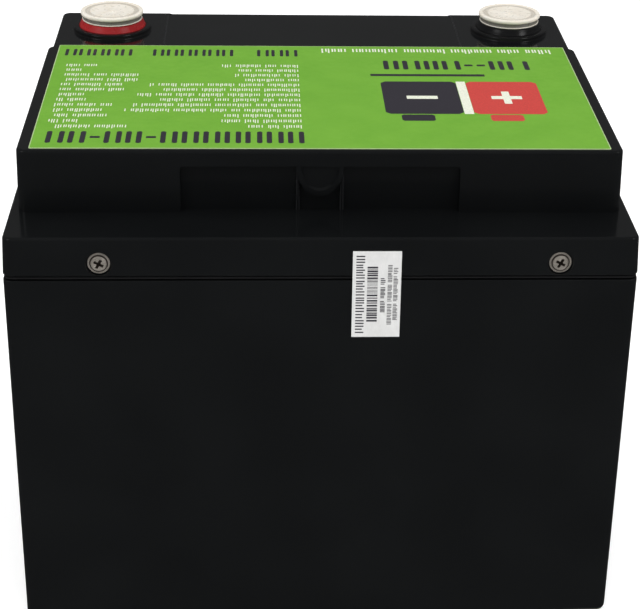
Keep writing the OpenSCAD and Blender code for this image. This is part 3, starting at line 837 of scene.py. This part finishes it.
def make_post(name, centre):
    """Brass post with a chamfered contact face and a real thread in its bore."""
    low, high = box_mm("terminal_" + name)
    flange_top = STRIP_TOP - WALL - 0.5
    flange_foot = flange_top - 2.5
    stud, flange, post, minor, pitch, bite = 4, 12, 8, 3.4, 1.25, 0.6
    profile = [(1.2, low.z), (stud - 0.5, low.z), (stud, low.z + 0.5), (stud, flange_foot),
               (flange - 0.4, flange_foot), (flange, flange_foot + 0.4), (flange, flange_top - 0.4),
               (flange - 0.4, flange_top), (post, flange_top), (post, high.z - 0.5),
               (post - 0.15, high.z - 0.15), (post - 0.5, high.z), (minor + 0.9, high.z),
               (minor + 0.35, high.z - 0.6)]
    depth = high.z - 12
    rows = 88
    for i in range(rows):
        z = high.z - 0.8 - (high.z - 1.2 - depth) * i / (rows - 1)
        profile.append((lambda a, z=z: minor + bite * abs(2 * ((z / pitch - a / math.tau) % 1) - 1), z))
    profile += [(minor, depth + 0.1), (0.3, depth - 1.2)]
    return lathe("terminal_" + name + "_threaded", profile, centre, closed=False, steps=64)


def make_cap(name, centre):
    """Push-on cap: thin lower rim, waist, thick disc with a raised border and a small gate mark."""
    low, high = box_mm("cap_" + name)
    rim, top = low.z, high.z
    inner = 8.3
    under = top - 1.8
    lower_rim = [(inner, 0), (10.7, 0), (10.95, 0.08), (11.05, 0.22), (11.0, 0.38), (10.75, 0.5)]
    narrow = [(10.3, 0.6), (10.15, 0.8), (10.15, 1.2), (10.3, 1.5), (10.8, 1.75), (11.3, 1.95), (11.48, 2.2)]
    border = [(11.5, 0.75), (11.45, 0.4), (11.25, 0.14), (10.9, 0.02), (10.5, 0), (10.1, 0.05), (9.85, 0.3)]
    dish = [(9.7, 0.7), (9.4, 0.85), (8.75, 0.87), (8.5, 0.75), (8.35, 0.45), (8.1, 0.3), (7.7, 0.33),
            (3.2, 0.5)]
    mark = [(1.9, 0.5), (1.7, 0.42), (1.35, 0.4), (1.15, 0.5), (0.8, 0.5), (0.6, 0.3), (0.15, 0.25)]
    profile = [(r, rim + up) for r, up in lower_rim + narrow]
    profile += [(r, top - down) for r, down in border + dish + mark]
    profile += [(0.15, under - 0.2), (inner - 0.8, under), (inner - 0.2, under - 0.25), (inner, under - 0.8)]
    cap = lathe("cap_" + name + "_moulded", profile, centre)
    # Faces in the top groove and in the waist wear the darker copies: painted shade in those hollows.
    for face in cap.data.polygons:
        where = face.center / MM
        r = math.hypot(where.x - centre[0], where.y - centre[1])
        groove = 8.2 < r < 9.9 and where.z > top - 1
        waist = 10 < r < 11 and rim + 0.55 < where.z < rim + 1.9
        face.material_index = 1 if groove else 2 if waist else 0
    return cap


# ---------------------------------------------------------------- label and seal

def chip(points, faces, low, high, z0, z1, soft=0.0):
    """Adds one printed patch, a flat block with cut corners."""
    (x0, y0), (x1, y1) = low, high
    s = min(soft, (x1 - x0) / 2.5, (y1 - y0) / 2.5)
    if s:
        outline = [(x0 + s, y0), (x1 - s, y0), (x1, y0 + s), (x1, y1 - s),
                   (x1 - s, y1), (x0 + s, y1), (x0, y1 - s), (x0, y0 + s)]
    else:
        outline = [(x0, y0), (x1, y0), (x1, y1), (x0, y1)]
    n, start = len(outline), len(points)
    points.extend((x, y, z0) for x, y in outline)
    points.extend((x, y, z1) for x, y in outline)
    faces.append(tuple(start + k for k in range(n))[::-1])
    faces.append(tuple(start + n + k for k in range(n)))
    faces.extend((start + k, start + (k + 1) % n, start + n + (k + 1) % n, start + n + k) for k in range(n))


class Print:
    """Printed patches of one ink, collected in a flat frame and made into one thin mesh."""

    def __init__(self, name, z0, z1):
        self.name, self.z0, self.z1 = name, z0, z1
        self.points, self.faces = [], []

    def block(self, x0, y0, x1, y1, soft=0.0):
        """Patch between two corners."""
        low, high = (min(x0, x1), min(y0, y1)), (max(x0, x1), max(y0, y1))
        chip(self.points, self.faces, low, high, self.z0, self.z1, soft)

    def greek(self, x, y, length, size, rng, bold=0.11):
        """Row of plain ticks that stands in for a line of print, in words that run from x towards -X."""
        done, word = 0.0, rng.randint(3, 9)
        while done < length:
            cell = size * rng.choice((0.26, 0.46, 0.5, 0.5, 0.56))
            ticks = (0.0,) if cell < size * 0.3 else (0.0, cell * 0.58)
            for at in ticks:
                tall = size * rng.choice((0.7, 0.74, 0.74, 1.0))
                start = x - done - at
                self.block(start - size * bold, y, start, y - tall)
            done += cell
            word -= 1
            if word == 0:
                done += size * 0.42
                word = rng.randint(3, 9)

    def make(self):
        return solid(self.name, self.points, self.faces)


def make_label():
    """Film with round corners, a pale cut edge and the printed green inside it."""
    low, high = LABEL_LOW, LABEL_HIGH
    r, margin, thick = 0.6, 0.3, 0.18
    rings = []
    for inset, up in ((0, 0), (0, thick - 0.04), (0.05, thick), (margin, thick)):
        rings.append(inset_ring((low.x, low.y), (high.x, high.y), inset, r - inset, low.z + up))
    label = loft("top_label_film", rings)
    top = max(label.data.polygons, key=lambda face: (round(face.center.z, 6), face.area))
    for face in label.data.polygons:
        face.material_index = 0 if face.index == top.index else 1
    return label


def bold_row(ink_print, x, y, widths, tall, stroke):
    """Row of generic bold signs from x towards -X: each has two uprights, a dash where it is narrow."""
    for wide in widths:
        if wide < tall * 0.35:
            ink_print.block(x, y - stroke / 2, x - wide, y + stroke / 2, 0.3)
        else:
            for start in (x, x - wide + stroke):
                ink_print.block(start, y - tall / 2, start - stroke, y + tall / 2, 0.5)
        x -= wide + stroke * 0.8


def make_label_print():
    """Generic print: bold rows of plain signs, rows of data in two columns and a battery pictogram."""
    z0 = LABEL_LOW.z + 0.17
    white, dark, red = (Print("label_print_" + ink_name, z0, z0 + thick)
                        for ink_name, thick in (("white", 0.045), ("dark", 0.03), ("red", 0.03)))
    rng = random.Random(7)
    right, left = -5.5, -87.5
    title = (5.2, 5.4, 5.4, 5.2, 5.4, 5.4, 5.4, 3.2, 5.0, 5.4, 3.2, 5.4, 5.6)
    bold_row(dark, right, -50.8, title, 10.2, 1.7)
    long_rows = (27, 20, 22, 20, 50, 47, 54, 46, 55, 58, 25, 26, 16)[::-1]
    short_rows = (11, 6, 26, 26, 21, 22, 9, 10, 19, 16, 18, 9, 25)[::-1]
    for row, (long, short) in enumerate(zip(long_rows, short_rows)):
        y = -39.9 + row * 5.0
        white.greek(right - 0.6, y, long, 3.1, rng)
        white.greek(left + short, y, short - 1, 3.1, rng)
    for start, count, wide in ((-6, 3, 4.2), (-29, 6, 4.0), (-65, 5, 4.0)):
        bold_row(dark, start, 33, (wide,) * count, 7.2, 1.15)
    make_pictogram(white, dark, red)
    bold_row(dark, 76, 20.5, (7.5, 5.2, 3.0, 3.0, 6.4, 5.0, 6.2, 5.4), 9.4, 1.8)
    dark.block(59, 8.6, 19, 10.8)
    white.greek(86, 38.2, 83, 4.6, rng, 0.12)
    return white.make(), dark.make(), red.make()


def make_pictogram(white, dark, red):
    """Battery with one dark and one red half, a pole on each, and a white minus and plus."""
    low, high, middle, x0, x1 = -29, 3, 49, 22, 76
    for half_print, start, end in ((dark, x0, middle - 1), (red, middle + 2.4, x1)):
        half_print.block(start, low, end, high, 1.6)
        pole = start + 5
        half_print.block(pole, low - 6.5, pole + 11, low - 0.7, 0.8)
    white.block(middle - 0.9, low, middle + 2.3, high)
    centre = (low + high) / 2
    white.block(x0 + 8, centre - 1.5, x0 + 18.5, centre + 1.5)
    plus = x1 - 12
    white.block(plus - 5.2, centre - 1.5, plus + 5.2, centre + 1.5)
    for side in (-1, 1):
        white.block(plus - 1.3, centre + side * 1.5, plus + 1.3, centre + side * 6)


def wall_front(z):
    """Y of the front wall at height z, with a shallow sag into the seam."""
    if z < CASE_TOP:
        return -HALF_W + FOOT_DRAFT * (CASE_TOP - z) / CASE_TOP
    if z < LID_FOOT:
        share = (z - CASE_TOP) / (LID_FOOT - CASE_TOP)
        return -HALF_W + 0.22 * math.sin(math.pi * share)
    return -HALF_W + LID_DRAFT * (z - LID_FOOT) / (SHOULDER - LID_FOOT)


def draped(obj):
    """Lays a flat piece, drawn in X and Y as across and up, on the front wall."""
    for v in obj.data.vertices:
        across, up, out = v.co / MM
        v.co = Vector((across, wall_front(up) - out, up)) * MM
    return tidy(obj)


def make_seal():
    """Paper strip that follows both walls and dips into the seam."""
    columns, rows, thick = 12, 64, 0.11
    low, high = SEAL_LOW, SEAL_HIGH
    points, faces = [], []
    for out in (0.005, thick):
        for i in range(rows + 1):
            up = low.z + (high.z - low.z) * i / rows
            points.extend((low.x + (high.x - low.x) * k / columns, up, out) for k in range(columns + 1))
    layer = (rows + 1) * (columns + 1)

    def at(i, k, top):
        return top * layer + i * (columns + 1) + k
    for i in range(rows):
        for k in range(columns):
            for top in (0, 1):
                faces.append((at(i, k, top), at(i, k + 1, top), at(i + 1, k + 1, top), at(i + 1, k, top)))
    for i in range(rows):
        for k in (0, columns):
            faces.append((at(i, k, 0), at(i + 1, k, 0), at(i + 1, k, 1), at(i, k, 1)))
    for k in range(columns):
        for i in (0, rows):
            faces.append((at(i, k, 0), at(i, k + 1, 0), at(i, k + 1, 1), at(i, k, 1)))
    return draped(solid("warranty_seal_paper", points, faces))


def make_seal_print():
    """Generic print on the seal, running upwards: a bold row, stripes and three fine rows."""
    dark = Print("seal_print_dark", 0.105, 0.13)
    rng = random.Random(3)
    low = SEAL_LOW

    def row(x, z, length, size, stroke):
        done, word = 0.0, rng.randint(4, 9)
        while done < length:
            cell = size * rng.choice((0.62, 0.72, 0.8))
            for at in (0, cell * 0.52):
                dark.block(x, z + done + at, x + size * rng.choice((0.8, 1.0, 1.0)), z + done + at + stroke)
            done += cell
            word -= 1
            if word == 0 and size < 2:
                done += size * 0.5
                word = rng.randint(4, 9)
    row(low.x + 1.1, low.z + 1.4, 26, 2.7, 0.42)
    z = low.z + 5.4
    while z < low.z + 24:
        wide = rng.choice((0.18, 0.22, 0.36, 0.6))
        dark.block(low.x + 4.6, z, low.x + 7.9, z + wide)
        z += wide + rng.choice((0.2, 0.3, 0.45))
    row(low.x + 8.8, low.z + 8.7, 11, 1.5, 0.3)
    row(low.x + 11.0, low.z + 4.4, 20.5, 1.4, 0.24)
    row(low.x + 12.8, low.z + 6.0, 17.5, 1.4, 0.24)
    return draped(dark.make())


# ---------------------------------------------------------------- floor

def make_floor():
    """Plain pale floor that the dark gloss doesn't mirror."""
    floor = add_object("floor", bpy.data.meshes.new("floor"))
    bm = bmesh.new()
    bmesh.ops.create_grid(bm, x_segments=8, y_segments=8, size=4)
    bm.to_mesh(floor.data)
    bm.free()
    look = Finish("floor_white", 0.8, gloss=0.0)
    look.colour(look.spread(look.noise(60), 0, 1), (0.9, 0.9, 0.9), (0.92, 0.92, 0.92))
    look.set(Emission_Color=(1, 1, 1, 1), Emission_Strength=0.4)
    floor.data.materials.append(look.material)
    floor.visible_glossy = False


# ---------------------------------------------------------------- build

make_camera()
make_world()
make_light("top_box", (0, -0.4, 2.6), (0, 0, 0), 2.4, 26, False)
make_light("left_box", (-1.7, -1.3, 1.4), (0, 0, 0.1), 0.9, 2.5)
make_light("right_box", (1.6, -1.2, 1.6), (0, 0, 0.1), 0.7, 3)
bpy.context.scene.view_settings.view_transform = "Standard"
make_floor()

FINISHES = make_finishes()
TERMINALS = {}
for side in ("positive", "negative"):
    collar_low, collar_high = box_mm("terminal_collar_" + side)
    TERMINALS[side] = ((collar_low.x + collar_high.x) / 2, (collar_low.y + collar_high.y) / 2)

SLOTS = {part["node"]: part["material_slot"] for part in frame["record"]["subparts"]}
for node, obj in frame["nodes"].items():
    paint(obj, SLOTS[node])

place(make_container(), "case_black", stands_for=("container",))
# The lid's rib flanks and pad sides wear a painted highlight.
place(make_lid(), "case_black", stands_for=("lid",), finishes=("case_black", "case_painted_highlight"))
place(make_gasket(), "seal_black", stands_for=("lid_gasket",))
# Each screw wears its steel, with painted shade in its cross and groove.
for number, spot in enumerate(screw_places(), 1):
    place(make_screw(f"lid_screw_{number}", spot), "screw_steel", stands_for=("lid_screws",),
          finishes=("screw_steel", "screw_painted_shade"))
for side, centre in TERMINALS.items():
    colour = {"positive": "pole_red", "negative": "pole_black"}[side]
    place(make_collar(side, centre), "pole_black", stands_for=("terminal_collar_" + side,))
    place(make_ring(side, centre), colour, stands_for=("terminal_ring_" + side,))
    place(make_post(side, centre), "brass", stands_for=("terminal_" + side,))
    # The caps wear painted shade in their top groove and their waist.
    place(make_cap(side, centre), "cap_milky", side + "_cap", ("cap_" + side,),
          ("cap_milky", "cap_groove_painted_shade", "cap_waist_painted_shade"))
place(make_label(), "label_green", stands_for=("top_label",), finishes=("label_green", "film_edge"))
for piece, look in zip(make_label_print(), ("ink_white", "ink_dark", "ink_red")):
    place(piece, "label_green", finishes=(look,))
place(make_seal(), "seal_paper", stands_for=("warranty_seal",))
place(make_seal_print(), "seal_paper", finishes=("ink_dark",))
